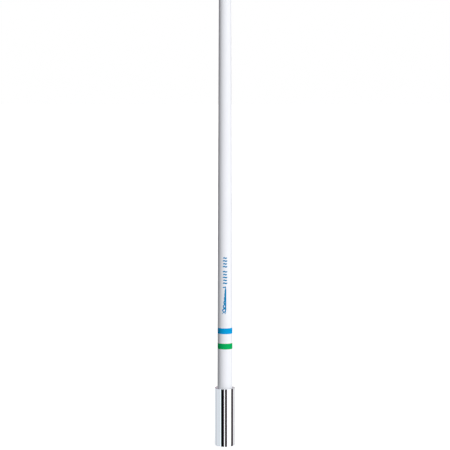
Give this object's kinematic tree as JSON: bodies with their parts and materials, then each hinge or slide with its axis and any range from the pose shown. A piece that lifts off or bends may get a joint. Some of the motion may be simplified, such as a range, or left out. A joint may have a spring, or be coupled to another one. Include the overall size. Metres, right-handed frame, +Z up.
{
  "type": "omnidirectional antenna",
  "caption": "Tall white tapered whip antenna with a polished steel ferrule, a green and a blue band, and a small tip cap.",
  "frame": {"origin": "centre of the ferrule's open foot, on the face that seats on the mount", "axes": "+Z up the whip, from the ferrule to the tip; the part is round about Z, and +X and -X are alike; the print faces -Y"},
  "size_m": [0.035, 0.035, 2.4384],
  "materials": {
    "polished_steel": "polished",
    "nickel_plated_brass": "satin",
    "brass": "satin",
    "copper": "satin",
    "tinned_metal": "satin",
    "silver_plate": "polished",
    "white_gelcoat": "gloss",
    "white_cap_plastic": "satin",
    "ptfe": "satin",
    "nylon": "satin",
    "epoxy": "satin",
    "black_pvc": "satin",
    "foam": "matte",
    "green_film": "gloss",
    "blue_film": "gloss"
  },
  "bodies": {
    "root": {"ferrule_sleeve": "polished_steel", "threaded_insert": "nickel_plated_brass", "bond_collar": "epoxy", "socket_shell": "nickel_plated_brass", "socket_dielectric": "ptfe", "socket_contact": "silver_plate", "socket_nut": "nickel_plated_brass", "socket_lock_washer": "tinned_metal", "coax_jacket": "black_pvc", "coax_braid": "tinned_metal", "coax_dielectric": "ptfe", "coax_conductor": "copper", "decoupling_sleeve": "brass", "braid_ring": "tinned_metal", "feed_insulator": "ptfe", "feed_plug": "brass", "lower_radiator": "brass", "lower_coil_ferrule": "brass", "phasing_coil_former": "nylon", "phasing_coil": "copper", "upper_coil_ferrule": "brass", "upper_radiator": "brass", "foam_spacer_01": "foam", "foam_spacer_02": "foam", "foam_spacer_03": "foam", "foam_spacer_04": "foam", "foam_spacer_05": "foam", "foam_spacer_06": "foam", "foam_spacer_07": "foam", "foam_spacer_08": "foam", "foam_spacer_09": "foam", "foam_spacer_10": "foam", "foam_spacer_11": "foam", "foam_spacer_12": "foam", "radome_tube": "white_gelcoat", "band_green": "green_film", "band_blue": "blue_film", "end_cap": "white_cap_plastic"}
  },
  "joints": []
}
